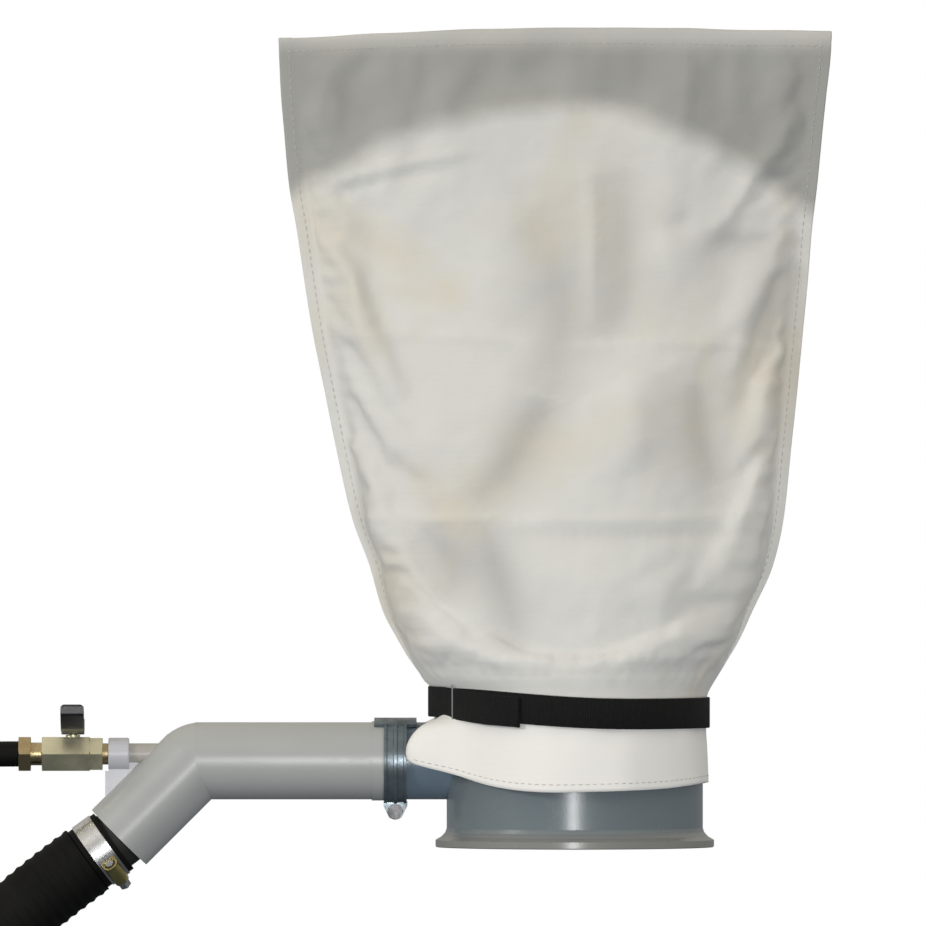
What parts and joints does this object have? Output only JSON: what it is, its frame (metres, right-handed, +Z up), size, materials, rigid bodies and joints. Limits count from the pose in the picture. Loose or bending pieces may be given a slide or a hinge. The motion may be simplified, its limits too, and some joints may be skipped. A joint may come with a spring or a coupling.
{
  "type": "dust collector",
  "caption": "Compressed-air dust collector: drum with a strapped filter bag on top, side elbow with air nozzle and ball valve, suction hose and air hose hanging from it.",
  "frame": {"origin": "centre of the drum's open mouth, in the plane of its flange", "axes": "+Z up the drum's axis, -X along the side pipe to the elbow, -Y towards the front"},
  "size_m": [0.6977, 0.175, 1.2598],
  "materials": {
    "bag_cloth": "woven filter cloth, matt",
    "strap_webbing": "black webbing",
    "loop_steel": "bright",
    "drum_plastic": "grey-blue, satin gloss",
    "pipe_plastic": "light grey, satin",
    "band_metal": "dark grey, satin",
    "soft_rubber": "matt black",
    "bolt_steel": "zinc plated",
    "valve_brass": "dull plated brass",
    "bare_brass": "turned brass",
    "ball_chrome": "polished",
    "seat_plastic": "white",
    "lever_plastic": "black",
    "hose_rubber": "black, satin",
    "clamp_steel": "bright",
    "housing_zinc": "yellow passivated"
  },
  "bodies": {
    "collector": {"filter_bag": "bag_cloth", "bag_strap": "strap_webbing", "strap_lap": "strap_webbing", "strap_loop": "loop_steel", "drum_body": "drum_plastic", "drum_branch": "drum_plastic", "elbow_pipe": "pipe_plastic", "coupling_band": "band_metal", "coupling_gasket": "soft_rubber", "coupling_bolt": "bolt_steel", "coupling_nut": "bolt_steel", "coupling_washers": "bolt_steel", "nozzle_tube": "pipe_plastic", "nozzle_tip": "bare_brass", "inlet_socket": "pipe_plastic", "nozzle_web": "pipe_plastic", "valve_nipple": "bare_brass", "valve_body": "valve_brass", "valve_end_piece": "valve_brass", "valve_seats": "seat_plastic", "stem_seal": "soft_rubber", "hose_tail": "bare_brass", "air_hose": "hose_rubber", "air_ferrule": "bolt_steel", "air_plug": "bolt_steel", "hose_spigot": "soft_rubber", "hose_near_cuff": "hose_rubber", "suction_hose": "hose_rubber", "hose_end_cuff": "hose_rubber", "clamp_band": "clamp_steel", "clamp_housing": "housing_zinc"},
    "valve_handle": {"valve_lever": "lever_plastic", "lever_screw": "bolt_steel", "valve_stem": "bare_brass", "valve_ball": "ball_chrome"},
    "clamp_worm": {"clamp_screw": "bolt_steel"}
  },
  "joints": [
    {"name": "valve_turn", "type": "hinge", "parent": "collector", "child": "valve_handle", "pos_m": [-0.3134, 0, 0.0581], "axis": [0, 0, -1], "range_deg": [0, 90]},
    {"name": "clamp_screw_turn", "type": "hinge", "parent": "collector", "child": "clamp_worm", "pos_m": [-0.28636, -0.02057, -0.01503], "axis": [0.4632, 0.6157, -0.6375], "continuous": true}
  ]
}
